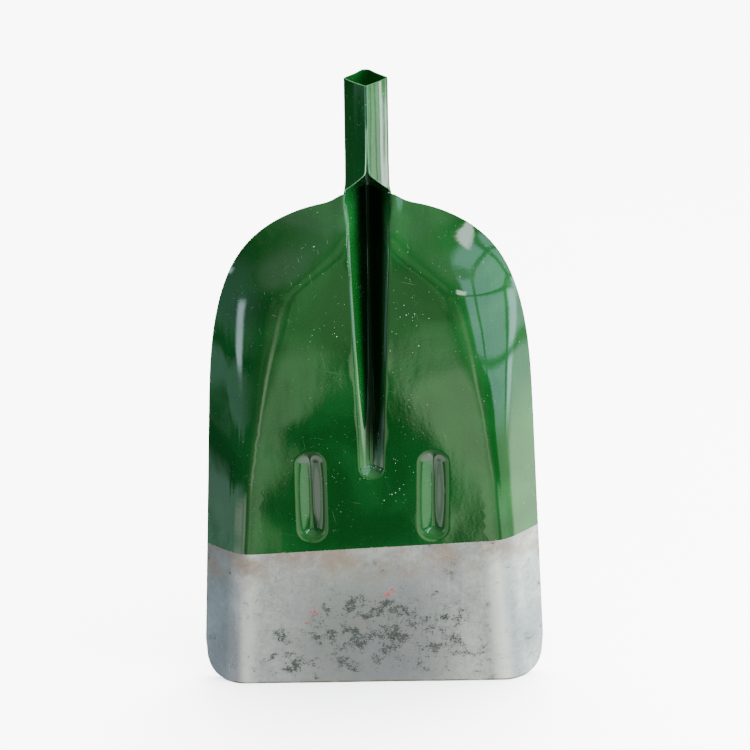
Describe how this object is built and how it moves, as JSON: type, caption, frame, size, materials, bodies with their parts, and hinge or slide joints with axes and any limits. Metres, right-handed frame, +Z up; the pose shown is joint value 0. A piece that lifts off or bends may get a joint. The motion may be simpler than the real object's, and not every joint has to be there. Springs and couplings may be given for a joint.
{
  "type": "snow shovel head",
  "caption": "Pressed sheet-steel shovel head: tray blade with turned-up sides, stiffening ribs and a rolled open-back diamond socket for a wooden handle.",
  "frame": {"origin": "centre of the socket mouth", "axes": "+X across the blade to the right seen from the back, +Y towards the hollow carrying side, +Z up the head from the cutting edge to the socket; the flat blade floor is parallel to the XZ plane"},
  "size_m": [0.3454, 0.0562, 0.639],
  "materials": {
    "green_paint": "deep green gloss enamel",
    "bare_steel": "uncoated cold-rolled sheet, mottled"
  },
  "bodies": {
    "root": {"blade_floor": "green_paint", "left_side_wall": "green_paint", "right_side_wall": "green_paint", "frog_channel": "green_paint", "handle_socket": "green_paint", "left_rib": "green_paint", "right_rib": "green_paint", "steel_edge": "bare_steel"}
  },
  "joints": []
}
